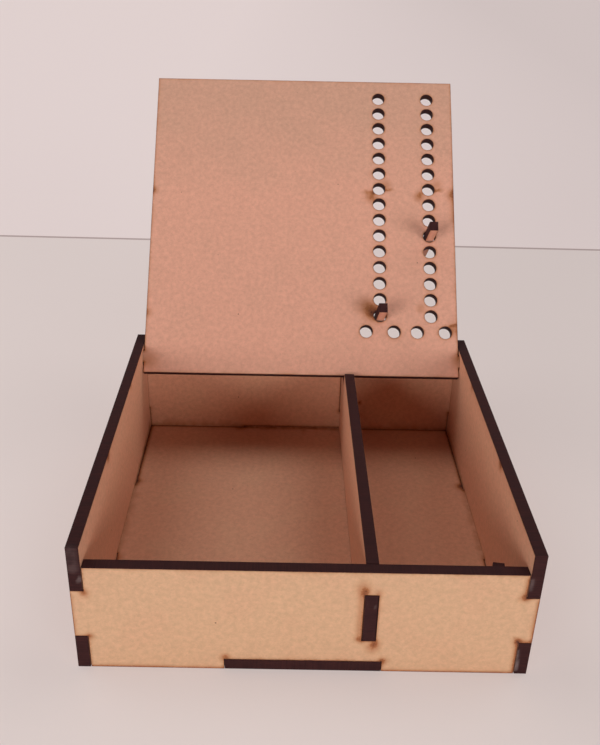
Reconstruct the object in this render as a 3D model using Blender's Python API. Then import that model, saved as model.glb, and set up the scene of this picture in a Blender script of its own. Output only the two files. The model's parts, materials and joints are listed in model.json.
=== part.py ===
"""Trick box: a small scoring box cut from 3 mm fibreboard.

The box has a wide compartment for a pack of cards and a narrow one for pegs. Its lid turns on two
ears in the side walls and stands open, leaning back on the back wall's top edge. The lid is the
score board: two columns of round holes and a short row below them, with square pegs.

Units are metres. +X is right, +Y is back and +Z is up. The origin is the middle of the box's
underside, and the pieces stand as they do with the lid open.
"""

import math

import bmesh
import bpy
from mathutils import Vector

# Sheet and box. The side and back walls rise above the closed lid by SIDE_RISE
SHEET = 0.0030
LEFT_ROOM = 0.0642
RIGHT_ROOM = 0.0338
ROOM_DEPTH = 0.1010
FRONT_HEIGHT = 0.0302
SIDE_RISE = 0.0024

# Finger joints between the panels. A corner tab takes this share of the height above the floor
JOINT_GAP = 0.0002
CORNER_TAB_SHARE = 0.5
FLOOR_TAB_WIDE = 0.0370
FLOOR_TAB_DEEP = 0.0320

# Lid, its ears and its clearances
LID_SIDE_GAP = 0.0003
CLOSED_GAP = 0.0002
LEANING_GAP = 0.0003
SWING_GAP = 0.0003
TAIL = 0.00515
EAR_WIDE = 0.0038
EAR_PLAY = 0.0002

# Holes in the lid. The short row has a hole on each side of each column, ROW_DROP below it
HOLE_PITCH = 0.0055
PITCHES_BETWEEN_COLUMNS = 3
TOP_MARGIN = 0.0065
EDGE_MARGIN = 0.0018
ROW_DROP = 0.0053
ROW_SPREAD = 0.0045
LOWEST_ROW = 0.0090

# Pegs. The holes that hold them are counted from the lowest one, 1 first
PEG_WIDE = 0.00265
PEG_PLAY = 0.0001
PEG_LONG = 0.0250
PEG_OUT = 0.0095
LEFT_PEG_HOLE = 1
RIGHT_PEG_HOLE = 6
SPARE_INSET = 0.0060
SPARE_TURN = math.radians(-8.0)
SEAT_GAP = 0.0003

# Number of steps in each quarter of a round hole
ROUND_STEPS = 6

# Worked out from the sizes above
ROOM_WIDTH = LEFT_ROOM + SHEET + RIGHT_ROOM
HALF_ROOM_X = ROOM_WIDTH / 2
HALF_ROOM_Y = ROOM_DEPTH / 2
HALF_X = HALF_ROOM_X + SHEET
HALF_Y = HALF_ROOM_Y + SHEET
SIDE_HEIGHT = FRONT_HEIGHT + CLOSED_GAP + SHEET + SIDE_RISE
DIVIDER_X = LEFT_ROOM + SHEET / 2 - HALF_ROOM_X
HEIGHT_ABOVE_FLOOR = FRONT_HEIGHT - SHEET
TAB_LOW = SHEET + HEIGHT_ABOVE_FLOOR * (1 - CORNER_TAB_SHARE) / 2
TAB_HIGH = TAB_LOW + HEIGHT_ABOVE_FLOOR * CORNER_TAB_SHARE
FLOOR_NOTCH_TOP = SHEET + JOINT_GAP
WELD = JOINT_GAP / 10
TAIL_REACH = math.hypot(TAIL, SHEET / 2)
PIVOT_Y = HALF_ROOM_Y - SWING_GAP - TAIL_REACH
PIVOT_Z = FRONT_HEIGHT + CLOSED_GAP + SHEET / 2
LID_TOP = PIVOT_Y + HALF_Y
LID_HALF = HALF_ROOM_X - LID_SIDE_GAP
EAR_RADIUS = math.hypot(EAR_WIDE, SHEET) / 2 + EAR_PLAY
HOLE_RADIUS = math.hypot(PEG_WIDE, SHEET) / 2 + PEG_PLAY
RIGHT_COLUMN_X = LID_HALF - EDGE_MARGIN - HOLE_RADIUS - ROW_SPREAD
LEFT_COLUMN_X = RIGHT_COLUMN_X - PITCHES_BETWEEN_COLUMNS * HOLE_PITCH
COLUMN_TOP = LID_TOP - TOP_MARGIN
HOLES_IN_COLUMN = 1 + math.floor((COLUMN_TOP - ROW_DROP - LOWEST_ROW) / HOLE_PITCH)
COLUMN_FOOT = COLUMN_TOP - (HOLES_IN_COLUMN - 1) * HOLE_PITCH

BOARD_COLOUR = (0.52, 0.27, 0.145)
EDGE_COLOUR = (0.045, 0.022, 0.022)


def lean_of_open_lid():
    """Angle from upright at which the lid's outer face meets the back wall's top inner edge."""
    across = HALF_ROOM_Y - PIVOT_Y
    up = SIDE_HEIGHT - PIVOT_Z
    return math.acos((SHEET / 2 + LEANING_GAP) / math.hypot(across, up)) - math.atan2(up, across)


LEAN = lean_of_open_lid()


def clear_scene():
    for thing in list(bpy.data.objects):
        bpy.data.objects.remove(thing, do_unlink=True)


def make_collection(name):
    group = bpy.data.collections.new(name)
    bpy.context.scene.collection.children.link(group)
    return group


def material(name, colour, roughness):
    """A plain finish, without metal."""
    made = bpy.data.materials.new(name)
    made.use_nodes = True
    shader = made.node_tree.nodes["Principled BSDF"]
    shader.inputs["Base Color"].default_value = (*colour, 1.0)
    shader.inputs["Roughness"].default_value = roughness
    shader.inputs["Metallic"].default_value = 0.0
    made.diffuse_color = (*colour, 1.0)
    return made


def mirrored(half):
    """A closed outline from its right half, listed from the bottom to the top."""
    return half + [(-x, y) for x, y in reversed(half)]


def rectangle(x_low, x_high, y_low, y_high):
    return [(x_low, y_low), (x_high, y_low), (x_high, y_high), (x_low, y_high)]


def add_polygon(curve, points):
    spline = curve.splines.new("POLY")
    spline.points.add(len(points) - 1)
    for point, (x, y) in zip(spline.points, points):
        point.co = (x, y, 0.0, 1.0)
    spline.use_cyclic_u = True


def add_circle(curve, x, y, radius):
    """A round hole of four Bezier points, whose handles give a true circle."""
    handle = radius * (math.sqrt(2) - 1) * 4 / 3
    spline = curve.splines.new("BEZIER")
    spline.bezier_points.add(3)
    for quarter, point in enumerate(spline.bezier_points):
        turn = quarter * math.pi / 2
        out = Vector((math.cos(turn), math.sin(turn), 0.0))
        along = Vector((-out.y, out.x, 0.0))
        centre = Vector((x, y, 0.0)) + out * radius
        point.handle_left_type = point.handle_right_type = "FREE"
        point.co = centre
        point.handle_left = centre - along * handle
        point.handle_right = centre + along * handle
    spline.use_cyclic_u = True


def panel(group, name, outline, finish, slots=(), rounds=()):
    """A panel of the sheet: an outline with slots and round holes, in its own XY plane."""
    curve = bpy.data.curves.new(name + "_outline", "CURVE")
    curve.dimensions = "2D"
    curve.fill_mode = "BOTH"
    curve.extrude = SHEET / 2
    curve.resolution_u = ROUND_STEPS
    add_polygon(curve, outline)
    for slot in slots:
        add_polygon(curve, slot)
    for x, y, radius in rounds:
        add_circle(curve, x, y, radius)
    drawn = bpy.data.objects.new(name + "_outline", curve)
    group.objects.link(drawn)
    depsgraph = bpy.context.evaluated_depsgraph_get()
    mesh = bpy.data.meshes.new_from_object(drawn.evaluated_get(depsgraph))
    mesh.name = name
    weld = bmesh.new()
    weld.from_mesh(mesh)
    bmesh.ops.remove_doubles(weld, verts=weld.verts, dist=WELD)
    bmesh.ops.recalc_face_normals(weld, faces=weld.faces)
    weld.to_mesh(mesh)
    weld.free()
    bpy.data.objects.remove(drawn, do_unlink=True)
    mesh.materials.clear()
    mesh.materials.append(finish)
    made = bpy.data.objects.new(name, mesh)
    group.objects.link(made)
    return made


def place(thing, x=0.0, y=0.0, z=0.0, turn=(0.0, 0.0, 0.0), parent=None):
    thing.location = (x, y, z)
    thing.rotation_euler = turn
    thing.parent = parent


def floor_panel(group):
    """The floor lies inside the walls, with one tab through each of them."""
    edge_x = HALF_ROOM_X - JOINT_GAP
    edge_y = HALF_ROOM_Y - JOINT_GAP
    side_tab = FLOOR_TAB_DEEP / 2
    end_tab = FLOOR_TAB_WIDE / 2
    right = [
        (end_tab, -HALF_Y), (end_tab, -edge_y), (edge_x, -edge_y), (edge_x, -side_tab),
        (HALF_X, -side_tab), (HALF_X, side_tab), (edge_x, side_tab), (edge_x, edge_y),
        (end_tab, edge_y), (end_tab, HALF_Y),
    ]
    made = panel(group, "floor", mirrored(right), material("floor_board", BOARD_COLOUR, 0.62))
    place(made, z=SHEET / 2)


def end_wall(group, name, height, y):
    """The front or back wall: tabs through the side walls, a slot for the divider's tab."""
    inner = HALF_ROOM_X - JOINT_GAP
    notch = FLOOR_TAB_WIDE / 2 + JOINT_GAP
    right = [
        (notch, FLOOR_NOTCH_TOP), (notch, 0.0), (inner, 0.0), (inner, TAB_LOW),
        (HALF_X, TAB_LOW), (HALF_X, TAB_HIGH), (inner, TAB_HIGH), (inner, height),
    ]
    reach = SHEET / 2 + JOINT_GAP
    slot = rectangle(DIVIDER_X - reach, DIVIDER_X + reach, TAB_LOW - JOINT_GAP, TAB_HIGH + JOINT_GAP)
    finish = material(name + "_board", BOARD_COLOUR, 0.6)
    made = panel(group, name, mirrored(right), finish, slots=[slot])
    place(made, y=y, turn=(math.pi / 2, 0.0, 0.0))


def side_wall(group, name, x):
    """A side wall: notches for the end walls' tabs, and the hole that the lid's ear turns in."""
    inner = HALF_ROOM_Y - JOINT_GAP
    notch = FLOOR_TAB_DEEP / 2 + JOINT_GAP
    low = TAB_LOW - JOINT_GAP
    high = TAB_HIGH + JOINT_GAP
    back = [
        (notch, FLOOR_NOTCH_TOP), (notch, 0.0), (HALF_Y, 0.0), (HALF_Y, low),
        (inner, low), (inner, high), (HALF_Y, high), (HALF_Y, SIDE_HEIGHT),
    ]
    finish = material(name + "_board", BOARD_COLOUR, 0.6)
    hole = (PIVOT_Y, PIVOT_Z, EAR_RADIUS)
    made = panel(group, name, mirrored(back), finish, rounds=[hole])
    place(made, x=x, turn=(math.pi / 2, 0.0, math.pi / 2))


def divider(group):
    """The divider stands on the floor. Its top rear corner is cut away for the lid's tail."""
    inner = HALF_ROOM_Y - JOINT_GAP
    foot = SHEET + JOINT_GAP
    cut_y = PIVOT_Y - TAIL_REACH - SWING_GAP
    cut_z = PIVOT_Z - TAIL_REACH - SWING_GAP
    outline = [
        (-inner, foot), (inner, foot), (inner, TAB_LOW), (HALF_Y, TAB_LOW),
        (HALF_Y, TAB_HIGH), (inner, TAB_HIGH), (inner, cut_z), (cut_y, cut_z),
        (cut_y, FRONT_HEIGHT), (-inner, FRONT_HEIGHT), (-inner, TAB_HIGH),
        (-HALF_Y, TAB_HIGH), (-HALF_Y, TAB_LOW), (-inner, TAB_LOW),
    ]
    made = panel(group, "divider", outline, material("divider_board", BOARD_COLOUR, 0.62))
    place(made, x=DIVIDER_X, turn=(math.pi / 2, 0.0, math.pi / 2))


def hole_height(number):
    """Distance from the lid's axis to a column's hole, counted from the lowest, 1 first."""
    return COLUMN_FOOT + (number - 1) * HOLE_PITCH


def lid(group):
    """The lid, its ears and its holes. Its origin is on the axis of the ears."""
    right = [
        (LID_HALF, -TAIL), (LID_HALF, -EAR_WIDE / 2), (HALF_X, -EAR_WIDE / 2),
        (HALF_X, EAR_WIDE / 2), (LID_HALF, EAR_WIDE / 2), (LID_HALF, LID_TOP),
    ]
    row = COLUMN_FOOT - ROW_DROP
    rounds = []
    for x in (LEFT_COLUMN_X, RIGHT_COLUMN_X):
        for number in range(1, HOLES_IN_COLUMN + 1):
            rounds.append((x, hole_height(number), HOLE_RADIUS))
        for side in (-ROW_SPREAD, ROW_SPREAD):
            rounds.append((x + side, row, HOLE_RADIUS))
    finish = material("lid_board", BOARD_COLOUR, 0.58)
    made = panel(group, "lid", mirrored(right), finish, rounds=rounds)
    place(made, y=PIVOT_Y, z=PIVOT_Z, turn=(math.pi / 2 - LEAN, 0.0, 0.0))
    return made


def peg(group, name):
    """A square peg, as thick as the sheet. It runs along its own Z axis."""
    mesh = bpy.data.meshes.new(name)
    shape = bmesh.new()
    bmesh.ops.create_cube(shape, size=1.0)
    bmesh.ops.scale(shape, vec=(PEG_WIDE, SHEET, PEG_LONG), verts=shape.verts)
    shape.to_mesh(mesh)
    shape.free()
    mesh.materials.append(material(name + "_cut", EDGE_COLOUR, 0.55))
    made = bpy.data.objects.new(name, mesh)
    group.objects.link(made)
    return made


def pegs(group, board):
    """One peg in each column of the lid, and a spare that stands in the narrow compartment."""
    middle = SHEET / 2 + PEG_OUT - PEG_LONG / 2
    left = peg(group, "left_peg")
    place(left, LEFT_COLUMN_X, hole_height(LEFT_PEG_HOLE), middle, parent=board)
    right = peg(group, "right_peg")
    place(right, RIGHT_COLUMN_X, hole_height(RIGHT_PEG_HOLE), middle, parent=board)
    spare = peg(group, "spare_peg")
    turn = abs(SPARE_TURN)
    half_depth = (SHEET * math.cos(turn) + PEG_WIDE * math.sin(turn)) / 2
    place(spare, HALF_ROOM_X - SPARE_INSET, SEAT_GAP + half_depth - HALF_ROOM_Y,
          SHEET + SEAT_GAP + PEG_LONG / 2, turn=(0.0, 0.0, SPARE_TURN))


def build():
    clear_scene()
    group = make_collection("trick_box")
    floor_panel(group)
    end_wall(group, "front_wall", FRONT_HEIGHT, SHEET / 2 - HALF_Y)
    end_wall(group, "back_wall", SIDE_HEIGHT, HALF_Y - SHEET / 2)
    side_wall(group, "left_wall", SHEET / 2 - HALF_X)
    side_wall(group, "right_wall", HALF_X - SHEET / 2)
    divider(group)
    pegs(group, lid(group))
    bpy.context.view_layer.update()


build()
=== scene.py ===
"""Trick box: every piece cut by laser from sanded fibreboard, its stage and its camera.

The outline of each piece is read from the frame, so nothing here is fitted by hand. Units are metres.
+X is right, +Y is back and +Z is up. A place on a panel is (across, up) on its shown face, seen from
that side: up is +Z, or +Y on the floor, and on the lid it counts from the ears' axis.
"""

import json
import math
from collections import namedtuple

import bmesh
import bpy
import numpy as np
from bpy.props import FloatProperty, FloatVectorProperty, IntProperty, PointerProperty
from mathutils import Matrix, Vector, noise
from mathutils.geometry import delaunay_2d_cdt


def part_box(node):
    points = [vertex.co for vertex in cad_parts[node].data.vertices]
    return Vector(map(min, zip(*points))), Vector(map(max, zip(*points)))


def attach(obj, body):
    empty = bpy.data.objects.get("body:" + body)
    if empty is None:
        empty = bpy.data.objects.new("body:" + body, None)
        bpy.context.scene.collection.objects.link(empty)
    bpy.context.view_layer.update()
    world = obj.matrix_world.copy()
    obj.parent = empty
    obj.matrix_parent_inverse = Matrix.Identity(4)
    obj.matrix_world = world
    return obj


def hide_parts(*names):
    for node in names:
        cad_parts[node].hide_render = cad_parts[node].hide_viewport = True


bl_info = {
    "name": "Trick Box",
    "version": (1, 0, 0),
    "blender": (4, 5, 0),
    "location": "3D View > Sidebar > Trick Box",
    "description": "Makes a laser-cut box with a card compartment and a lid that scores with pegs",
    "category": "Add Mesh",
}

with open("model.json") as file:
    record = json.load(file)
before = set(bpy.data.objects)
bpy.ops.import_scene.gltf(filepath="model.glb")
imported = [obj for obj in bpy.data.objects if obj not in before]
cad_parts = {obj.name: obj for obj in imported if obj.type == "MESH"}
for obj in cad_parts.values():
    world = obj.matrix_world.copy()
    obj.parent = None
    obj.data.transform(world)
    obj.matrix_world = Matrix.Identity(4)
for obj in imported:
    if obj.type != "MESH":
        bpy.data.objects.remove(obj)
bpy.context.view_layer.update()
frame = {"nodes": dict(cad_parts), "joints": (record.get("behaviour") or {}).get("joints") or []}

HINGE = next(joint for joint in frame["joints"] if joint["name"] == "lid_hinge")

RIGHT = Vector((1.0, 0.0, 0.0))
BACK = Vector((0.0, 1.0, 0.0))
UP = Vector((0.0, 0.0, 1.0))

# How a panel is read from the frame: two corners are one within this distance, a face looks towards
# a way or a panel lies level from these cosines on, and a line is round within this share of its radius.
SAME_PLACE = 0.000001
FACING_COSINE = 0.7
LEVEL_COSINE = 0.9
ROUND_SHARE = 0.01

# How a panel is meshed: points on its faces by (spacing, depth in the board from, depth up to), how far
# each is shaken as a share of the spacing, and the length of a wave in a cut as a number of cut spacings.
FACE_GRIDS = ((0.0005, 0.00028, 0.0016), (0.0011, 0.0016, 0.0042), (0.0030, 0.0042, 1.0))
SHAKE_SHARE = 0.25
SHAKE_SEED = 5
WAVE_SPACINGS = 5

# A face is filled inside its outlines only. Points that lie closer than these shares of the edge radius
# become one, first in the filling and then where it meets the walls. An edge stays sharp from this angle.
FILL_INSIDE = 1
FILL_SHARE = 0.01
WELD_SHARE = 0.02
SHARP_ANGLE = math.radians(35)

# Most values of a noise texture lie in the first range, and nearly all in the second.
MOST_NOISE = {"From_Min": 0.38, "From_Max": 0.62}
NEARLY_ALL_NOISE = {"From_Min": 0.3, "From_Max": 0.7}

# How smoke stains the faces: a brown line and a faint haze beside each cut, a flare at each corner where
# the laser turns, and how far haze and flares drift from place to place. The last two shares say how much
# of the reach of a burn or painted shade, and of a run of glue or painted highlight, its fading is worked
# out from.
HALO_DEPTH = 0.36
HAZE_DEPTH = 0.06
HAZE_DRIFT = 0.12
FLARE_REACH = 0.0018
FLARE_DEPTH = 0.18
FLARE_DRIFT = 0.3
DRIFT_SIZE = 0.004
BURN_FADE_SHARE = 0.55
GLUE_AND_SHEEN_FADE_SHARE = 0.6

# Burns on a panel's shown face: (across, up, reach, depth), and lines (across, up, across, up, reach,
# depth). The laser dwells there, so smoke stains the board. Depth 1 is charred through, and the reach
# is where the stain has faded.
# Some entries below are painted shade, not laser marks; each is noted where it stands.
LID_BURNS_AND_SHADE = (
    (0.0226, 0.0560, 0.0032, 0.50), (0.0234, 0.0575, 0.0010, 0.85), (0.0278, 0.0604, 0.0030, 0.24),
    (0.0200, 0.0577, 0.0234, 0.0577, 0.0007, 0.32), (0.0272, 0.0583, 0.0297, 0.0588, 0.0007, 0.55),
    (0.0386, 0.0562, 0.0027, 0.48), (0.0392, 0.0576, 0.0012, 0.40), (0.0448, 0.0608, 0.0028, 0.22),
    (0.0435, 0.0583, 0.0460, 0.0589, 0.0007, 0.55), (0.0502, 0.0570, 0.0032, 0.62),
    (0.0502, 0.0545, 0.0502, 0.0480, 0.0020, 0.25), (0.0502, 0.0583, 0.0012, 0.60),
    (0.0231, 0.0157, 0.0040, 0.78), (0.0213, 0.0178, 0.0054, 0.36), (0.0386, 0.0175, 0.0026, 0.30),
    (0.0478, 0.0117, 0.0502, 0.0124, 0.0007, 0.60), (0.0492, 0.0107, 0.0038, 0.32),
    (-0.0504, 0.0570, 0.0022, 0.80), (-0.0500, 0.0146, 0.0022, 0.35), (0.0352, 0.0364, 0.0007, 0.60),
    (-0.0336, 0.0417, 0.0006, 0.50), (-0.0154, 0.0241, 0.0006, 0.45), (0.0014, 0.0116, 0.0006, 0.60),
    # These two are painted shade that the side walls cast on the lid's lower corners.
    (0.0500, 0.0005, 0.0034, 0.34), (-0.0485, -0.0012, 0.0050, 0.26),
)
FRONT_BURNS = (
    (0.0136, 0.0246, 0.0018, 0.62), (0.0132, 0.0260, 0.0032, 0.28), (0.0168, 0.0246, 0.0018, 0.16),
    (0.0128, 0.0234, 0.0128, 0.0102, 0.0015, 0.24), (0.0128, 0.0102, 0.0012, 0.34),
    (0.0165, 0.0085, 0.0017, 0.62), (0.0162, 0.0072, 0.0030, 0.26), (0.0501, 0.0237, 0.0018, 0.50),
    (0.0502, 0.0290, 0.0502, 0.0238, 0.0013, 0.36), (0.0501, 0.0104, 0.0017, 0.42),
    (0.0501, 0.0104, 0.0503, 0.0010, 0.0012, 0.42), (0.0501, 0.0102, 0.0535, 0.0100, 0.0011, 0.34),
    (0.0535, 0.0225, 0.0535, 0.0105, 0.0011, 0.42), (-0.0503, 0.0227, 0.0017, 0.36),
    (-0.0499, 0.0097, 0.0015, 0.36), (-0.0535, 0.0225, -0.0535, 0.0105, 0.0008, 0.24),
    (-0.0183, 0.0038, 0.0019, 0.42), (0.0189, 0.0035, 0.0017, 0.34),
    (-0.0505, 0.0000, -0.0190, 0.0000, 0.0011, 0.44), (0.0190, 0.0000, 0.0505, 0.0000, 0.0011, 0.44),
)
FLOOR_BURNS_AND_SHADE = (
    (0.0498, 0.0178, 0.0026, 0.75), (-0.0500, 0.0178, 0.0024, 0.55), (-0.0200, 0.0500, 0.0030, 0.45),
    (0.0438, -0.0127, 0.0007, 0.50), (0.0470, -0.0300, 0.0022, 0.30), (-0.0500, -0.0178, 0.0022, 0.35),
    # These lines along the floor's edges are painted shade in its joints with the walls, over the char
    # there.
    (-0.0503, 0.0503, 0.0503, 0.0503, 0.0014, 0.55), (-0.0504, 0.0503, -0.0504, 0.0178, 0.0014, 0.75),
    (-0.0504, 0.0178, -0.0504, -0.0500, 0.0012, 0.26), (0.0504, 0.0503, 0.0504, 0.0178, 0.0012, 0.60),
    (0.0504, 0.0178, 0.0504, -0.0500, 0.0012, 0.30),
)
BACK_BURNS_AND_SHADE = (
    (0.0205, 0.0132, 0.0010, 0.80), (-0.0300, 0.0352, 0.0026, 0.40),
    # This line at the wall's foot is painted shade in its joint with the floor.
    (-0.0500, 0.0030, 0.0500, 0.0030, 0.0012, 0.30),
)
LEFT_BURNS_AND_SHADE = (
    (-0.0167, 0.0356, 0.0030, 0.70), (0.0200, 0.0356, 0.0022, 0.40),
    # This line at the wall's foot is painted shade in its joint with the floor.
    (0.0178, 0.0030, 0.0500, 0.0030, 0.0010, 0.50),
)
RIGHT_BURNS_AND_SHADE = (
    (0.0173, 0.0356, 0.0030, 0.70), (-0.0230, 0.0356, 0.0024, 0.45),
    # This line at the wall's foot is painted shade in its joint with the floor.
    (-0.0500, 0.0030, -0.0178, 0.0030, 0.0012, 0.30),
)
DIVIDER_BURNS = ((-0.0100, 0.0300, 0.0024, 0.40),)

# Glue that was squeezed out over the cut ends: (x, y, z, z where the run ends, reach, thickness). The first
# entry is a painted highlight instead, where the top of the left wall's front end catches the light.
GLUE_AND_SHEEN = (
    (-0.0523, -0.0535, 0.0348, 0.0300, 0.0024, 0.13),
    (-0.0508, -0.0535, 0.0268, 0.0272, 0.0009, 0.50), (-0.0513, -0.0535, 0.0262, 0.0266, 0.0007, 0.26),
    (0.0509, -0.0535, 0.0262, 0.0286, 0.0009, 0.24), (0.0507, -0.0535, 0.0044, 0.0074, 0.0005, 0.45),
    (0.0508, -0.0535, 0.0013, 0.0040, 0.0006, 0.50), (0.0160, -0.0535, 0.0200, 0.0203, 0.0004, 0.30),
    (0.0153, 0.0535, 0.0140, 0.0160, 0.0008, 0.40), (-0.0507, 0.0535, 0.0050, 0.0070, 0.0009, 0.45),
)

# The camera's sensor in millimetres, the nearest thing that it shows and how far the floor reaches
SENSOR_WIDTH = 36.0
NEAREST_SHOWN = 0.01
FLOOR_REACH = 3.0

Panel = namedtuple("Panel", "plane half lines rounds")


def linear(code):
    """The linear colour of an sRGB hex code."""
    shades = [int(code[place:place + 2], 16) / 255 for place in (0, 2, 4)]
    return [shade / 12.92 if shade <= 0.04045 else ((shade + 0.055) / 1.055) ** 2.4 for shade in shades]


class BoardSettings(bpy.types.PropertyGroup):
    """Sizes and colours of the board and of what the laser does to it"""
    edge_radius: FloatProperty(
        name="Edge radius", description="Radius to which the laser melts a cut edge",
        default=0.00009, unit="LENGTH")
    waviness: FloatProperty(
        name="Waviness", description="How far a cut wanders into the board",
        default=0.00004, unit="LENGTH")
    joint_fill: FloatProperty(
        name="Joint fill", description="How far char and glue close the gap at a cut, from each side",
        default=0.00007, unit="LENGTH")
    cut_spacing: FloatProperty(
        name="Cut spacing", description="Distance between points along a cut",
        default=0.0006, unit="LENGTH")
    hole_points: IntProperty(name="Hole points", description="Points around a round hole", default=48)
    cut_rows: IntProperty(name="Cut rows", description="Rows of faces down a cut wall", default=6)
    halo: FloatProperty(
        name="Halo", description="Width of the brown line beside a cut", default=0.00018, unit="LENGTH")
    haze: FloatProperty(
        name="Haze", description="Width of the faint smoke stain beside a cut",
        default=0.0011, unit="LENGTH")
    cloud_size: FloatProperty(
        name="Cloud size", description="Size of the board's paler and rosier clouds",
        default=0.014, unit="LENGTH")
    # The lid's rosy lower part is painted bounce light from the red inside of the box: full up to the
    # second distance from the lid's axis, and gone from the first.
    painted_bounce_gone_from: FloatProperty(
        name="Pale from", description="Distance from the lid's axis from which the sheet is palest",
        default=0.090, unit="LENGTH")
    painted_bounce_full_to: FloatProperty(
        name="Rosy up to", description="Distance from the lid's axis up to which the sheet is rosiest",
        default=0.055, unit="LENGTH")
    mottle_size: FloatProperty(
        name="Mottle size", description="Size of the clumps of fibre", default=0.0013, unit="LENGTH")
    fibre_size: FloatProperty(
        name="Fibre size", description="Width of a bundle of fibres", default=0.0006, unit="LENGTH")
    fleck_spacing: FloatProperty(
        name="Fleck spacing", description="Distance between bark flecks", default=0.0065, unit="LENGTH")
    streak_pitch: FloatProperty(
        name="Streak pitch", description="Pitch of the laser's streaks on a cut wall",
        default=0.00045, unit="LENGTH")
    front_colour: FloatVectorProperty(
        name="Front", description="Sanded face of the front wall", subtype="COLOR",
        default=linear("DAAE8A"))
    # The inner boards are given a redder colour than the front: painted bounce light, the red light that
    # passes between the boards inside the box. It is used on both faces of these boards.
    inner_bounce_tinted_colour: FloatVectorProperty(
        name="Inner boards", description="Sanded face of the boards that enclose the compartments",
        subtype="COLOR", default=linear("DBA283"))
    # The lid's face colour is rosy partly from its own tint and partly from painted bounce light from the
    # red inside of the box; the top colour is where that bounce has faded.
    lid_colour: FloatVectorProperty(
        name="Lid face", description="Sanded face of the lid", subtype="COLOR", default=linear("DEA38B"))
    lid_pale_colour: FloatVectorProperty(
        name="Lid's top", description="Sanded face at the top of the lid", subtype="COLOR",
        default=linear("CE9D85"))
    fleck_colour: FloatVectorProperty(
        name="Bark flecks", description="Dark flecks of bark", subtype="COLOR", default=linear("6E4630"))
    # The next two colours also draw painted shade along some joints and at the lid's lower corners.
    stain_and_shade_colour: FloatVectorProperty(
        name="Smoke stain", description="Faint stain of smoke", subtype="COLOR", default=linear("B27046"))
    scorch_and_shade_colour: FloatVectorProperty(
        name="Scorch", description="Browned board beside a cut", subtype="COLOR", default=linear("7A4228"))
    char_colour: FloatVectorProperty(
        name="Char", description="Charred wall of a cut", subtype="COLOR", default=linear("31191A"))
    ember_colour: FloatVectorProperty(
        name="Ember brown", description="Redder streaks in the char", subtype="COLOR",
        default=linear("442625"))
    # The glue colour also draws a painted highlight at the top of the left wall's front end.
    glue_and_sheen_colour: FloatVectorProperty(
        name="Dried glue", description="Film of dried glue on the char", subtype="COLOR",
        default=linear("A08C8A"))


class StageSettings(bpy.types.PropertyGroup):
    """The camera's place, the floor and the light"""
    camera_place: FloatVectorProperty(
        name="Camera", description="Place of the camera", subtype="XYZ", unit="LENGTH",
        default=(-0.00644, -0.20831, 0.16507))
    camera_tilt: FloatProperty(
        name="Tilt", description="Angle below level", subtype="ANGLE", default=math.radians(26.980))
    camera_pan: FloatProperty(
        name="Pan", description="Angle to the left of straight ahead", subtype="ANGLE",
        default=math.radians(-0.240))
    camera_roll: FloatProperty(
        name="Roll", description="Turn about the line of sight", subtype="ANGLE",
        default=math.radians(1.147))
    lens: FloatProperty(
        name="Lens", description="Focal length in millimetres on a 36 mm sensor", default=43.04)
    shift_x: FloatProperty(name="Shift right", description="Share of the long side", default=0.0206)
    shift_y: FloatProperty(name="Shift up", description="Share of the long side", default=-0.0330)
    table_depth: FloatProperty(
        name="Table depth", description="Distance from the box's middle to the table's back edge",
        default=0.2383, unit="LENGTH")
    table_turn: FloatProperty(
        name="Table turn", description="Turn of the table against the box", subtype="ANGLE",
        default=math.radians(-0.86))
    table_colour: FloatVectorProperty(
        name="Table", description="Pale floor that the box stands on", subtype="COLOR",
        default=linear("EFE9E6"))
    table_seen_colour: FloatVectorProperty(
        name="Table seen", description="Colour that the camera sees mixed into the table",
        subtype="COLOR", default=linear("E9D8D4"))
    beyond_seen_colour: FloatVectorProperty(
        name="Beyond seen", description="The same for the floor behind the table", subtype="COLOR",
        default=linear("F3E0DE"))
    # The thin dark strip behind the table is a painted shadow line along its back edge.
    shadow_line_seen_colour: FloatVectorProperty(
        name="Gap seen", description="The same for the dark gap behind the table", subtype="COLOR",
        default=linear("A58A88"))
    shadow_line_width: FloatProperty(
        name="Gap width", description="Width of the dark gap behind the table",
        default=0.0022, unit="LENGTH")
    fall: FloatProperty(
        name="Fall", description="How much darker the floor is seen at the right", subtype="FACTOR",
        default=0.16)
    fall_reach: FloatProperty(
        name="Fall reach", description="Distance right of the middle at which the fall is complete",
        default=0.3, unit="LENGTH")
    seen_share: FloatProperty(
        name="Share seen", description="Share of the floor's look that shadows don't darken",
        subtype="FACTOR", default=0.6)
    room_colour: FloatVectorProperty(
        name="Room", description="Pale room seen above the floor", subtype="COLOR",
        default=linear("DCCECC"))
    light_colour: FloatVectorProperty(
        name="Light", description="Colour of all the light", subtype="COLOR", default=linear("FFFCFB"))
    dome_strength: FloatProperty(
        name="Dome", description="Strength of the light from all around", default=0.04)
    front_strength: FloatProperty(
        name="Front lights", description="Strength of each of the two low lights in front", default=1.85)
    back_strength: FloatProperty(
        name="Back lights", description="Strength of each of the two high lights behind", default=0.65)
    softness: FloatProperty(
        name="Softness", description="Width of each light as the box sees it", subtype="ANGLE",
        default=math.radians(34))


def add_node(tree, kind, **settings):
    """Adds a node. Each setting is a value of its own, or an input's value or the socket that feeds it."""
    node = tree.nodes.new(kind)
    inputs = {socket.identifier.replace(" ", "_"): socket for socket in node.inputs}
    for name, value in settings.items():
        if name not in inputs:
            setattr(node, name, value)
        elif isinstance(value, bpy.types.NodeSocket):
            tree.links.new(value, inputs[name])
        else:
            inputs[name].default_value = value
    return node


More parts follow.
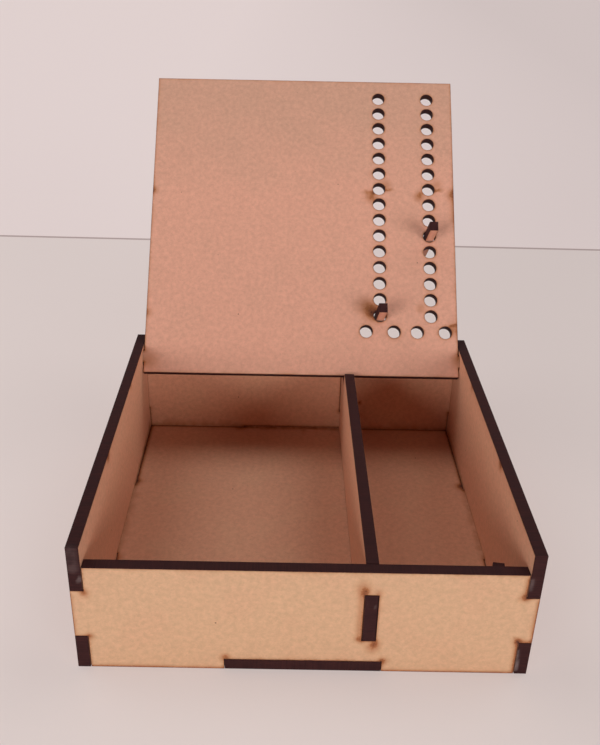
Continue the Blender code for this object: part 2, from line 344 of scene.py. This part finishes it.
def new_finish(name):
    """An empty material with its shader and its output joined, and the piece's own coordinates."""
    finish = bpy.data.materials.new(name)
    finish.use_nodes = True
    tree = finish.node_tree
    tree.nodes.clear()
    shader = add_node(tree, "ShaderNodeBsdfPrincipled", IOR=1.5, Metallic=0.0)
    add_node(tree, "ShaderNodeOutputMaterial", Surface=shader.outputs["BSDF"])
    place = add_node(tree, "ShaderNodeTexCoord").outputs["Object"]
    return finish, tree, shader, place


def sanded_fibreboard(name, pale, rosy, board):
    """Medium-density fibreboard with its sanded skin: matt, clouded, finely mottled, flecked with bark.

    The lid turns from rosy near its axis to pale at its top; the rosy part is painted bounce light, the red
    light that the inside of the box throws onto the lid. The fibres are too fine to show at the camera's
    distance, so they are drawn about twice as coarse. The scorch attribute browns the face beside the cuts,
    and also carries painted shade along some joints and at the lid's lower corners.
    """
    finish, tree, shader, place = new_finish(name)

    # The board's colour, clouded between pale and rosy, with painted bounce light: the lid is rosier
    # towards its axis, where the red inside of the box lights it
    clouds = add_node(tree, "ShaderNodeTexNoise", Vector=place, Scale=1 / board.cloud_size, Detail=2.0)
    along = add_node(tree, "ShaderNodeSeparateXYZ", Vector=place)
    # Painted bounce light: rosy near the lid's axis, fading to pale towards its top
    sheet = add_node(
        tree, "ShaderNodeMapRange", Value=along.outputs["Y"], From_Min=board.painted_bounce_gone_from,
        From_Max=board.painted_bounce_full_to, To_Min=-0.15, To_Max=0.85)
    cloudy = add_node(tree, "ShaderNodeMapRange", Value=clouds.outputs[0], To_Max=0.3, **MOST_NOISE)
    rosiness = add_node(
        tree, "ShaderNodeMath", operation="ADD", Value=sheet.outputs[0], Value_001=cloudy.outputs[0],
        use_clamp=True)
    ground = add_node(
        tree, "ShaderNodeMix", data_type="RGBA", Factor_Float=rosiness.outputs[0],
        A_Color=(*pale, 1.0), B_Color=(*rosy, 1.0))

    # Clumps and bundles of fibre, lighter and darker
    mottle = add_node(
        tree, "ShaderNodeTexNoise", Vector=place, Scale=1 / board.mottle_size, Detail=3.0, Roughness=0.6)
    fibres = add_node(
        tree, "ShaderNodeTexNoise", Vector=place, Scale=1 / board.fibre_size, Detail=4.0,
        Roughness=0.7, Distortion=1.4)
    grain = add_node(
        tree, "ShaderNodeMath", operation="MULTIPLY_ADD", Value=mottle.outputs[0], Value_001=0.5,
        Value_002=add_node(
            tree, "ShaderNodeMath", operation="MULTIPLY", Value=fibres.outputs[0],
            Value_001=0.5).outputs[0])
    shade = add_node(
        tree, "ShaderNodeMapRange", Value=grain.outputs[0], To_Min=0.90, To_Max=1.09, **MOST_NOISE)
    grained = add_node(
        tree, "ShaderNodeHueSaturation", Color=ground.outputs["Result"], Value=shade.outputs[0])

    # Specks of bark, in about half of the cells
    cells = add_node(
        tree, "ShaderNodeTexVoronoi", Vector=place, Scale=1 / board.fleck_spacing, Randomness=1.0)
    chosen = add_node(tree, "ShaderNodeSeparateColor", Color=cells.outputs["Color"])
    reach = add_node(
        tree, "ShaderNodeMapRange", Value=chosen.outputs["Red"], From_Min=0.45, From_Max=1.0,
        To_Min=0.0, To_Max=0.06)
    fleck = add_node(
        tree, "ShaderNodeMath", operation="LESS_THAN", Value=cells.outputs["Distance"],
        Value_001=reach.outputs[0])
    flecked = add_node(
        tree, "ShaderNodeMix", data_type="RGBA", A_Color=grained.outputs["Color"],
        B_Color=(*board.fleck_colour, 1.0),
        Factor_Float=add_node(
            tree, "ShaderNodeMath", operation="MULTIPLY", Value=fleck.outputs[0],
            Value_001=0.75).outputs[0])

    # Smoke stains the fibres unevenly, then browns them, then chars them. The same attribute and colours
    # also draw painted shade along some joints and at the lid's lower corners.
    burnt_and_shaded = add_node(tree, "ShaderNodeAttribute", attribute_name="scorch_and_shade")
    ragged = add_node(
        tree, "ShaderNodeMapRange", Value=fibres.outputs[0], To_Min=0.72, To_Max=1.28,
        **NEARLY_ALL_NOISE)
    burn = add_node(
        tree, "ShaderNodeMath", operation="MULTIPLY", Value=burnt_and_shaded.outputs["Fac"],
        Value_001=ragged.outputs[0])
    colour = flecked.outputs["Result"]
    for shade_colour, start, end in (
        (board.stain_and_shade_colour, 0.02, 0.45), (board.scorch_and_shade_colour, 0.35, 0.75), (board.char_colour, 0.7, 1.0),
    ):
        part = add_node(tree, "ShaderNodeMapRange", Value=burn.outputs[0], From_Min=start, From_Max=end)
        colour = add_node(
            tree, "ShaderNodeMix", data_type="RGBA", Factor_Float=part.outputs[0], A_Color=colour,
            B_Color=(*shade_colour, 1.0)).outputs["Result"]
    tree.links.new(colour, shader.inputs["Base Color"])

    # A matt skin, a little uneven
    rough = add_node(
        tree, "ShaderNodeMapRange", Value=fibres.outputs[0], To_Min=0.64, To_Max=0.78,
        **NEARLY_ALL_NOISE)
    shader.inputs["Specular IOR Level"].default_value = 0.3
    tree.links.new(rough.outputs[0], shader.inputs["Roughness"])
    bump = add_node(
        tree, "ShaderNodeBump", Height=grain.outputs[0], Strength=0.35, Distance=board.fibre_size / 12)
    tree.links.new(bump.outputs["Normal"], shader.inputs["Normal"])
    return finish


def charred_cut(name, board):
    """Wall of a laser cut: resin and lignin charred to a dark, faintly glossy crust.

    The beam leaves fine streaks straight across the sheet, and glue dries on the char as a pale film. The
    same film paints a highlight at the top of the left wall's front end.
    """
    finish, tree, shader, place = new_finish(name)
    streak_length = board.streak_pitch * 16
    stretched = add_node(
        tree, "ShaderNodeMapping", Vector=place,
        Scale=(1 / board.streak_pitch, 1 / board.streak_pitch, 1 / streak_length))
    streaks = add_node(
        tree, "ShaderNodeTexNoise", Vector=stretched.outputs[0], Scale=1.0, Detail=3.0, Roughness=0.6)
    patches = add_node(
        tree, "ShaderNodeTexNoise", Vector=place, Scale=1 / (board.mottle_size * 2), Detail=3.0)
    both = add_node(
        tree, "ShaderNodeMath", operation="MULTIPLY_ADD", Value=streaks.outputs[0], Value_001=0.65,
        Value_002=add_node(
            tree, "ShaderNodeMath", operation="MULTIPLY", Value=patches.outputs[0],
            Value_001=0.35).outputs[0])
    ember = add_node(tree, "ShaderNodeMapRange", Value=both.outputs[0], From_Min=0.4, From_Max=0.68)
    char = add_node(
        tree, "ShaderNodeMix", data_type="RGBA", Factor_Float=ember.outputs[0],
        A_Color=(*board.char_colour, 1.0), B_Color=(*board.ember_colour, 1.0))
    # The glue attribute also holds one painted highlight, drawn as the same pale film
    glue = add_node(tree, "ShaderNodeAttribute", attribute_name="glue")
    film = add_node(
        tree, "ShaderNodeMath", operation="MULTIPLY", Value=glue.outputs["Fac"],
        Value_001=add_node(
            tree, "ShaderNodeMapRange", Value=patches.outputs[0], From_Min=0.3, From_Max=0.6,
            To_Min=0.4, To_Max=1.0).outputs[0])
    colour = add_node(
        tree, "ShaderNodeMix", data_type="RGBA", Factor_Float=film.outputs[0],
        A_Color=char.outputs["Result"], B_Color=(*board.glue_and_sheen_colour, 1.0))
    tree.links.new(colour.outputs["Result"], shader.inputs["Base Color"])
    rough = add_node(
        tree, "ShaderNodeMapRange", Value=both.outputs[0], To_Min=0.6, To_Max=0.85, **NEARLY_ALL_NOISE)
    shader.inputs["Specular IOR Level"].default_value = 0.1
    tree.links.new(rough.outputs[0], shader.inputs["Roughness"])
    bump = add_node(
        tree, "ShaderNodeBump", Height=streaks.outputs[0], Strength=0.5,
        Distance=board.streak_pitch / 8)
    tree.links.new(bump.outputs["Normal"], shader.inputs["Normal"])
    return finish


def finish_named(name, board):
    """A finish by its name, made when it is first asked for."""
    if name in bpy.data.materials:
        return bpy.data.materials[name]
    if name == "fibreboard_charred_cut":
        return charred_cut(name, board)
    pale, rosy = {
        "fibreboard_sanded_front": (board.inner_bounce_tinted_colour, board.front_colour),
        # The boards round the compartments take the redder colour of painted bounce light
        "fibreboard_sanded_inner": (board.front_colour, board.inner_bounce_tinted_colour),
        "fibreboard_sanded_lid": (board.lid_pale_colour, board.lid_colour),
    }[name]
    return sanded_fibreboard(name, pale, rosy, board)


def read_panel(node, towards, origin=Vector()):
    """The plane, half thickness, straight cut lines and round holes of a panel, read from the frame.

    The plane's third axis is the normal of the face that looks towards the given way. A cut line keeps
    the board on its left.
    """
    mesh = frame["nodes"][node].data
    facing = [face for face in mesh.polygons if face.normal.dot(towards.normalized()) > FACING_COSINE]
    normal = max(facing, key=lambda face: face.area).normal.copy()
    upright = BACK if abs(normal.z) > LEVEL_COSINE else UP
    upright = (upright - normal * upright.dot(normal)).normalized()
    heights = [vertex.co.dot(normal) for vertex in mesh.vertices]
    middle = (min(heights) + max(heights)) / 2
    axes = Matrix((upright.cross(normal), upright, normal)).transposed()
    plane = Matrix.Translation(origin + normal * (middle - origin.dot(normal))) @ axes.to_4x4()
    local = plane.inverted()
    flat = np.array([(local @ vertex.co)[:2] for vertex in mesh.vertices])
    first_alike = [int(np.argmax(np.abs(flat - place).max(1) < SAME_PLACE)) for place in flat]
    edges = set()
    for face in mesh.polygons:
        if min(heights[index] for index in face.vertices) < max(heights) - SAME_PLACE:
            continue
        corners = [first_alike[index] for index in face.vertices]
        for edge in zip(corners, corners[1:] + corners[:1]):
            if edge[::-1] in edges:
                edges.remove(edge[::-1])
            else:
                edges.add(edge)
    following = dict(sorted(edges))
    lines, rounds = [], []
    while following:
        start, point = following.popitem()
        line = [start]
        while point != start:
            line.append(point)
            point = following.pop(point)
        line = flat[line]
        reach = np.linalg.norm(line - line.mean(0), axis=1)
        if len(line) > 4 and np.ptp(reach) < reach.mean() * ROUND_SHARE:
            rounds.append((line.mean(0), reach.mean()))
        else:
            lines.append(line)
    return Panel(plane, (max(heights) - min(heights)) / 2, lines, rounds)


def inside_lines(points, lines):
    """Whether each point lies inside an odd number of closed lines."""
    inside = np.zeros(len(points), bool)
    for line in lines:
        for start, end in zip(line, np.roll(line, -1, 0)):
            if start[1] != end[1]:
                crossing = start[0] + (points[:, 1] - start[1]) * (end[0] - start[0]) / (end[1] - start[1])
                spans = (start[1] > points[:, 1]) != (end[1] > points[:, 1])
                inside ^= spans & (points[:, 0] < crossing)
    return inside


def depth_in_board(panel, points):
    """How far each point lies from the nearest cut, below zero where there is no board."""
    nearest = np.full(len(points), np.inf)
    inside = inside_lines(points, panel.lines)
    for line in panel.lines:
        for start, end in zip(line, np.roll(line, -1, 0)):
            along = end - start
            share = np.clip((points - start) @ along / (along @ along), 0, 1)
            gaps = np.linalg.norm(points - start - share[:, None] * along, axis=1)
            nearest = np.minimum(nearest, gaps)
    for centre, radius in panel.rounds:
        gaps = np.linalg.norm(points - centre, axis=1) - radius
        nearest = np.minimum(nearest, np.abs(gaps))
        inside &= gaps > 0
    return np.where(inside, nearest, -nearest)


def cut_rims(panel, board):
    """Closed rows of points along every cut, which wanders a little and is thickened by char and glue.

    They stay in the outline's box.
    """
    rims = []
    for line in panel.lines:
        rim = []
        for start, end in zip(line, np.roll(line, -1, 0)):
            count = math.ceil(np.linalg.norm(end - start) / board.cut_spacing)
            rim += [start + (end - start) * step / count for step in range(count)]
        rims.append(np.array(rim))
    turns = -2 * math.pi * np.arange(board.hole_points) / board.hole_points
    circle = np.stack([np.cos(turns), np.sin(turns)], 1)
    rims += [centre + radius * circle for centre, radius in panel.rounds]
    wave = board.cut_spacing * WAVE_SPACINGS
    for rim in rims:
        waves = [0.5 + 0.5 * noise.noise(Vector((x / wave, y / wave, 0.0))) for x, y in rim]
        rim += into_board(rim) * (np.array(waves)[:, None] * board.waviness - board.joint_fill)
    corners = np.concatenate(panel.lines)
    return [np.clip(rim, corners.min(0), corners.max(0)) for rim in rims]


def into_board(rim):
    """The way into the board at each point, long enough that every side moves in alike."""
    along = np.roll(rim, -1, 0) - rim
    along /= np.linalg.norm(along, axis=1)[:, None]
    left = np.stack([-along[:, 1], along[:, 0]], 1)
    before = np.roll(left, 1, 0)
    return (left + before) / (1 + (left * before).sum(1))[:, None]


def wall_profile(half, board):
    """(Inset, height) of each row of points down a cut wall, from the shown face to the far one."""
    radius = board.edge_radius
    turns = [math.radians(45) * step for step in range(3)]
    rounded = [(radius * (1 - math.sin(turn)), half - radius * (1 - math.cos(turn))) for turn in turns]
    straight = half - radius
    rows = [(0.0, straight * (1 - 2 * step / board.cut_rows)) for step in range(1, board.cut_rows)]
    return rounded + rows + [(inset, -height) for inset, height in reversed(rounded)]


def face_points(panel, rims):
    """Points inside a face, close together near the cuts, where the scorch fades, and sparse elsewhere."""
    everything = np.concatenate(rims)
    low, high = everything.min(0), everything.max(0)
    shaken = np.random.default_rng(SHAKE_SEED)
    chosen = []
    for spacing, near, far in FACE_GRIDS:
        across = np.arange(low[0], high[0], spacing)
        upward = np.arange(low[1], high[1], spacing)
        grid = np.stack(np.meshgrid(across, upward), -1).reshape(-1, 2)
        grid += shaken.uniform(-SHAKE_SHARE, SHAKE_SHARE, grid.shape) * spacing
        depth = depth_in_board(panel, grid)
        chosen.append(grid[(depth >= near) & (depth < far)])
    return np.concatenate(chosen)


def panel_mesh(name, panel, board):
    """A panel with melted edges: two faces filled between its cuts, and a wall along every cut."""
    rims = cut_rims(panel, board)
    profile = wall_profile(panel.half, board)
    points, faces = [], []
    for rim in rims:
        inward, count, first = into_board(rim), len(rim), len(points)
        for inset, height in profile:
            points += [(x, y, height) for x, y in rim + inward * inset]
        for row in range(len(profile) - 1):
            for step in range(count):
                upper = first + row * count
                after = (step + 1) % count
                faces.append((upper + step, upper + count + step, upper + count + after, upper + after))
    outlines = [rim + into_board(rim) * board.edge_radius for rim in rims]
    flat = np.concatenate(outlines + [face_points(panel, rims)])
    edges, first = [], 0
    for outline in outlines:
        edges += [(first + step, first + (step + 1) % len(outline)) for step in range(len(outline))]
        first += len(outline)
    filled = delaunay_2d_cdt(
        [Vector(point) for point in flat], edges, [], FILL_INSIDE, board.edge_radius * FILL_SHARE, False)
    corners = np.array([tuple(corner) for corner in filled[0]])
    triangles = np.array(filled[2])
    triangles = triangles[inside_lines(corners[triangles].mean(1), outlines)]
    for height, order in ((panel.half, (0, 1, 2)), (-panel.half, (2, 1, 0))):
        first = len(points)
        points += [(x, y, height) for x, y in corners]
        faces += [tuple(first + triangle[list(order)]) for triangle in triangles]
    mesh = bpy.data.meshes.new(name)
    mesh.from_pydata(points, [], faces)
    weld = bmesh.new()
    weld.from_mesh(mesh)
    bmesh.ops.remove_doubles(weld, verts=weld.verts, dist=board.edge_radius * WELD_SHARE)
    loose = [vertex for vertex in weld.verts if not vertex.link_faces]
    bmesh.ops.delete(weld, geom=loose, context="VERTS")
    weld.to_mesh(mesh)
    weld.free()
    mesh.shade_smooth()
    mesh.set_sharp_from_angle(angle=SHARP_ANGLE)
    return mesh


def notch_corners(panel):
    """Corners that cut into the board, where the laser turns and dwells."""
    corners = []
    for line in panel.lines:
        before = line - np.roll(line, 1, 0)
        after = np.roll(line, -1, 0) - line
        turns = before[:, 0] * after[:, 1] - before[:, 1] * after[:, 0]
        corners += [tuple(corner) for corner, turn in zip(line, turns) if turn < 0]
    return corners


def gaps_to_run(points, start, end):
    """How far each point lies from a spot, or from a straight run between two."""
    along = np.subtract(end, start)
    share = np.clip((points - start) @ along / max(along @ along, SAME_PLACE ** 2), 0, 1)
    return np.linalg.norm(points - start - share[:, None] * along, axis=1)


def stain(points, burns_and_shade):
    """Joins burns into one value for each point."""
    clear = np.ones(len(points))
    for *places, reach, depth in burns_and_shade:
        gaps = gaps_to_run(points[:, :2], places[:2], places[-2:])
        clear *= 1 - depth * np.exp(-(gaps / (reach * BURN_FADE_SHARE)) ** 2)
    return 1 - clear


def mark_panel(mesh, panel, burns_and_shade, board):
    """Writes where the faces are scorched, together with painted shade along some joints and at the lid's
    lower corners, and where glue has dried, together with one painted highlight, and gives the walls their
    finish.
    """
    points = np.array([vertex.co for vertex in mesh.vertices])
    depth = np.abs(depth_in_board(panel, points[:, :2]))
    drift = np.array([noise.noise(Vector(point) / DRIFT_SIZE) for point in points])
    scorch_and_shade = HALO_DEPTH * np.exp(-depth / board.halo)
    scorch_and_shade += (HAZE_DEPTH + HAZE_DRIFT * drift) * np.exp(-depth / board.haze)
    shown = points[:, 2] > 0
    scorch_and_shade[shown] = 1 - (1 - scorch_and_shade[shown]) * (1 - stain(points[shown], burns_and_shade))
    corners = notch_corners(panel)
    for side, seed in ((shown, 1.0), (~shown, 2.0)):
        flares = [
            (x, y, FLARE_REACH, FLARE_DEPTH + FLARE_DRIFT * noise.noise(Vector((x, y, seed)) / DRIFT_SIZE))
            for x, y in corners]
        scorch_and_shade[side] = 1 - (1 - scorch_and_shade[side]) * (1 - stain(points[side], flares))
    world = np.array([panel.plane @ Vector(point) for point in points])
    # Glue runs, and one painted highlight at the top of the left wall's front end
    glue = np.zeros(len(points))
    for x, y, low, high, reach, thickness in GLUE_AND_SHEEN:
        gaps = gaps_to_run(world, (x, y, low), (x, y, high))
        glue = np.maximum(glue, thickness * np.exp(-(gaps / (reach * GLUE_AND_SHEEN_FADE_SHARE)) ** 4))
    for name, values in (("scorch_and_shade", scorch_and_shade), ("glue", glue)):
        kept = mesh.attributes.new(name, "FLOAT", "POINT")
        kept.data.foreach_set("value", np.clip(values, 0, 1).astype(np.float32))
    heights = np.array([face.center.z for face in mesh.polygons])
    walls = np.abs(heights) < panel.half - board.edge_radius * WELD_SHARE
    mesh.polygons.foreach_set("material_index", walls.astype(np.int32))


# Unless told otherwise, a piece takes the inner boards' finish, reddened with painted bounce light.
def cut_piece(
        context, name, node, body, towards, face="fibreboard_sanded_inner", burns_and_shade=(),
        origin=Vector()):
    """One piece of the board in place of its node. Its shown face looks towards the given way."""
    board = context.scene.trick_box_board
    panel = read_panel(node, towards, origin)
    mesh = panel_mesh(name, panel, board)
    mark_panel(mesh, panel, burns_and_shade, board)
    mesh.materials.append(finish_named(face, board))
    mesh.materials.append(finish_named("fibreboard_charred_cut", board))
    piece = bpy.data.objects.new(name, mesh)
    piece.matrix_world = panel.plane
    context.scene.collection.objects.link(piece)
    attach(piece, body)
    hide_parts(node)
    return piece


class TRICKBOX_OT_floor(bpy.types.Operator):
    """Cut the floor, which has a tab through each wall"""
    bl_idname = "trickbox.floor"
    bl_label = "Floor"

    def execute(self, context):
        cut_piece(context, "floor_panel", "floor", "box", UP, burns_and_shade=FLOOR_BURNS_AND_SHADE)
        return {"FINISHED"}


class TRICKBOX_OT_end_walls(bpy.types.Operator):
    """Cut the front wall and the taller back wall"""
    bl_idname = "trickbox.end_walls"
    bl_label = "End Walls"

    def execute(self, context):
        cut_piece(
            context, "front_panel", "front_wall", "box", -BACK, face="fibreboard_sanded_front",
            burns_and_shade=FRONT_BURNS)
        cut_piece(context, "back_panel", "back_wall", "box", -BACK, burns_and_shade=BACK_BURNS_AND_SHADE)
        return {"FINISHED"}


class TRICKBOX_OT_side_walls(bpy.types.Operator):
    """Cut the side walls with the holes that the lid's ears turn in"""
    bl_idname = "trickbox.side_walls"
    bl_label = "Side Walls"

    def execute(self, context):
        cut_piece(context, "left_panel", "left_wall", "box", RIGHT, burns_and_shade=LEFT_BURNS_AND_SHADE)
        cut_piece(context, "right_panel", "right_wall", "box", -RIGHT, burns_and_shade=RIGHT_BURNS_AND_SHADE)
        return {"FINISHED"}


class TRICKBOX_OT_divider(bpy.types.Operator):
    """Cut the divider between the two compartments"""
    bl_idname = "trickbox.divider"
    bl_label = "Divider"

    def execute(self, context):
        cut_piece(context, "divider_panel", "divider", "box", -RIGHT, burns_and_shade=DIVIDER_BURNS)
        return {"FINISHED"}


class TRICKBOX_OT_lid(bpy.types.Operator):
    """Cut the lid with its ears and its peg holes"""
    bl_idname = "trickbox.lid"
    bl_label = "Lid"

    def execute(self, context):
        cut_piece(
            context, "lid_panel", "lid", "lid", -BACK, face="fibreboard_sanded_lid",
            burns_and_shade=LID_BURNS_AND_SHADE, origin=Vector(HINGE["pos_m"]))
        return {"FINISHED"}


class TRICKBOX_OT_pegs(bpy.types.Operator):
    """Cut the two scoring pegs and the spare one"""
    bl_idname = "trickbox.pegs"
    bl_label = "Pegs"

    def execute(self, context):
        # Each stick is a strip of the sheet, so two of its long sides are sanded and two are charred.
        upward = UP + BACK
        for node, towards in (("left_peg", upward), ("right_peg", upward), ("spare_peg", -BACK)):
            low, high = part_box(node)
            cut_piece(
                context, node + "_stick", node, node, towards,
                face="fibreboard_sanded_lid", origin=(low + high) / 2)
        return {"FINISHED"}


def stage_camera(context, stage):
    """The camera that stands where the photograph was taken."""
    camera = bpy.data.objects.new("camera", bpy.data.cameras.new("camera"))
    context.scene.collection.objects.link(camera)
    camera.location = stage.camera_place
    turn = Matrix.Rotation(stage.camera_pan, 4, "Z")
    turn = turn @ Matrix.Rotation(math.pi / 2 - stage.camera_tilt, 4, "X")
    turn = turn @ Matrix.Rotation(stage.camera_roll, 4, "Z")
    camera.rotation_euler = turn.to_euler()
    camera.data.sensor_fit = "AUTO"
    camera.data.sensor_width = SENSOR_WIDTH
    camera.data.lens = stage.lens
    camera.data.shift_x = stage.shift_x
    camera.data.shift_y = stage.shift_y
    camera.data.clip_start = NEAREST_SHOWN
    context.scene.camera = camera


def seen_ray(tree):
    """One for what the camera sees, by itself, in a gloss or through a clear thing, and nothing else."""
    rays = add_node(tree, "ShaderNodeLightPath").outputs
    seen = rays["Is Camera Ray"]
    for kind in ("Is Glossy Ray", "Is Transmission Ray"):
        seen = add_node(
            tree, "ShaderNodeMath", operation="MAXIMUM", Value=seen, Value_001=rays[kind]).outputs[0]
    return seen


def stage_floor(context, stage):
    """A plain table, and the paler floor that shows behind it across a thin dark strip of painted shadow
    along the table's back edge.

    Their look falls off to the right. At the left the ramp ends sooner, near the room's own shade.
    """
    left_share = 1 / 3
    beyond = stage.table_depth + stage.shadow_line_width
    for name, near, far, seen_colour in (
        ("studio_table", -FLOOR_REACH, stage.table_depth, stage.table_seen_colour),
        # A thin strip of painted shadow along the table's back edge
        ("studio_gap", stage.table_depth, beyond, stage.shadow_line_seen_colour),
        ("studio_beyond", beyond, FLOOR_REACH, stage.beyond_seen_colour),
    ):
        mesh = bpy.data.meshes.new(name)
        corners = [(x, y, 0) for x, y in (
            (-FLOOR_REACH, near), (FLOOR_REACH, near), (FLOOR_REACH, far), (-FLOOR_REACH, far))]
        mesh.from_pydata(corners, [], [(0, 1, 2, 3)])
        finish = bpy.data.materials.new(name)
        finish.use_nodes = True
        tree = finish.node_tree
        tree.nodes.clear()
        lit = add_node(tree, "ShaderNodeBsdfDiffuse", Color=(*stage.table_colour, 1.0))
        across = add_node(
            tree, "ShaderNodeSeparateXYZ", Vector=add_node(tree, "ShaderNodeTexCoord").outputs["Object"])
        fall = add_node(
            tree, "ShaderNodeMapRange", Value=across.outputs["X"],
            From_Min=-stage.fall_reach * left_share, From_Max=stage.fall_reach,
            To_Min=1 + stage.fall * left_share, To_Max=1 - stage.fall)
        pale = add_node(
            tree, "ShaderNodeEmission", Color=(*seen_colour, 1.0), Strength=fall.outputs[0])
        share = add_node(
            tree, "ShaderNodeMath", operation="MULTIPLY", Value=seen_ray(tree), Value_001=stage.seen_share)
        both = add_node(
            tree, "ShaderNodeMixShader", Fac=share.outputs[0], Shader=lit.outputs[0],
            Shader_001=pale.outputs[0])
        add_node(tree, "ShaderNodeOutputMaterial", Surface=both.outputs[0])
        mesh.materials.append(finish)
        floor = bpy.data.objects.new(name, mesh)
        floor.rotation_euler.z = stage.table_turn
        context.scene.collection.objects.link(floor)


def stage_light(context, stage):
    """A dim dome with four broad lights. What the camera and reflections see of it is the pale room."""
    world = bpy.data.worlds.new("studio_light")
    world.use_nodes = True
    tree = world.node_tree
    tree.nodes.clear()
    dome = add_node(
        tree, "ShaderNodeBackground", Color=(*stage.light_colour, 1.0), Strength=stage.dome_strength)
    room = add_node(tree, "ShaderNodeBackground", Color=(*stage.room_colour, 1.0), Strength=1.0)
    both = add_node(
        tree, "ShaderNodeMixShader", Fac=seen_ray(tree), Shader=dome.outputs[0], Shader_001=room.outputs[0])
    add_node(tree, "ShaderNodeOutputWorld", Surface=both.outputs[0])
    context.scene.world = world
    # Each light stands this many degrees to the right of straight in front, and this many above level.
    for name, across, height, strength in (
        ("front_left_light", -35, 5, stage.front_strength),
        ("front_right_light", 35, 5, stage.front_strength),
        ("back_left_light", -120, 55, stage.back_strength),
        ("back_right_light", 120, 55, stage.back_strength),
    ):
        light = bpy.data.lights.new(name, "SUN")
        light.color = stage.light_colour
        light.energy = strength
        light.angle = stage.softness
        lamp = bpy.data.objects.new(name, light)
        lamp.rotation_euler = (math.radians(90 - height), 0, math.radians(across))
        context.scene.collection.objects.link(lamp)


class TRICKBOX_OT_stage(bpy.types.Operator):
    """Set up the pale floor, the soft light and the camera"""
    bl_idname = "trickbox.stage"
    bl_label = "Stage"

    def execute(self, context):
        stage = context.scene.trick_box_stage
        stage_camera(context, stage)
        stage_floor(context, stage)
        stage_light(context, stage)
        context.scene.view_settings.view_transform = "Standard"
        return {"FINISHED"}


STEPS = (
    TRICKBOX_OT_floor, TRICKBOX_OT_end_walls, TRICKBOX_OT_side_walls, TRICKBOX_OT_divider,
    TRICKBOX_OT_lid, TRICKBOX_OT_pegs, TRICKBOX_OT_stage,
)


class TRICKBOX_PT_panel(bpy.types.Panel):
    """Lists the steps that make the box, and the sizes and colours that they use"""
    bl_label = "Trick Box"
    bl_idname = "TRICKBOX_PT_panel"
    bl_space_type = "VIEW_3D"
    bl_region_type = "UI"
    bl_category = "Trick Box"

    def draw(self, context):
        for step in STEPS:
            self.layout.operator(step.bl_idname)
        for settings in (context.scene.trick_box_board, context.scene.trick_box_stage):
            column = self.layout.column(align=True)
            for name in settings.__annotations__:
                column.prop(settings, name)


CLASSES = (BoardSettings, StageSettings, *STEPS, TRICKBOX_PT_panel)


def register():
    for kind in CLASSES:
        bpy.utils.register_class(kind)
    bpy.types.Scene.trick_box_board = PointerProperty(type=BoardSettings)
    bpy.types.Scene.trick_box_stage = PointerProperty(type=StageSettings)


def unregister():
    del bpy.types.Scene.trick_box_stage
    del bpy.types.Scene.trick_box_board
    for kind in reversed(CLASSES):
        bpy.utils.unregister_class(kind)


def main():
    register()
    for step in STEPS:
        group, name = step.bl_idname.split(".")
        getattr(getattr(bpy.ops, group), name)()


if __name__ == "__main__":
    main()
